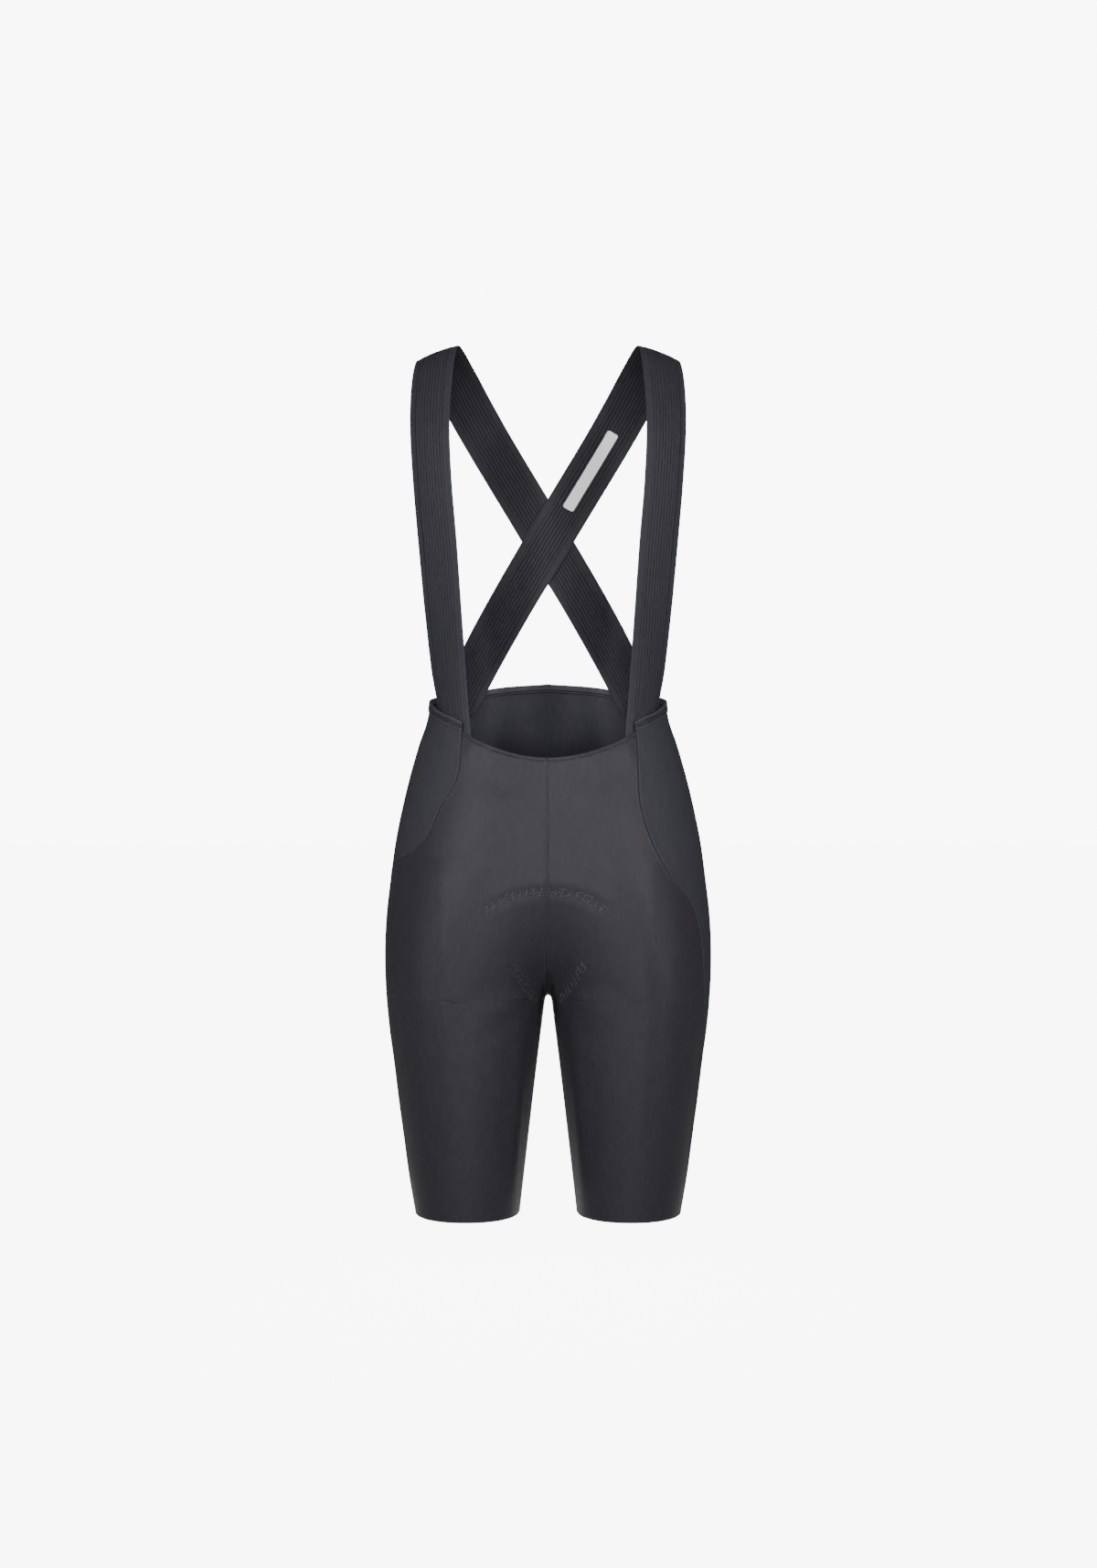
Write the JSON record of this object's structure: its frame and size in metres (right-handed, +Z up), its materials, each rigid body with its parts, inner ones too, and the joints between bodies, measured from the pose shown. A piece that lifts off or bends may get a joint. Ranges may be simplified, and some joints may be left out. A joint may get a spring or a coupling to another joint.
{
  "type": "cycling bib shorts",
  "caption": "Hollow worn form of cycling bib shorts with long legs, a bound waist open at the front, and ribbed elastic straps that cross at the back.",
  "frame": {"origin": "midway between the tops of the two straps, where the wearer's shoulders hold them", "axes": "+Z up, the front of the garment faces -Y, +X is a viewer's right when the front is seen"},
  "size_m": [0.3213, 0.2255, 0.8514],
  "materials": {
    "front_cloth": "smooth knit with a soft satin sheen",
    "back_cloth": "matt fine knit",
    "elastic": "ribbed elastic",
    "label": "woven satin, blank"
  },
  "bodies": {
    "root": {"front_panel_left": "front_cloth", "front_panel_right": "front_cloth", "back_panel_left": "back_cloth", "back_panel_right": "back_cloth", "waist_binding": "elastic", "strap_left": "elastic", "strap_right": "elastic", "strap_label": "label"}
  },
  "joints": []
}
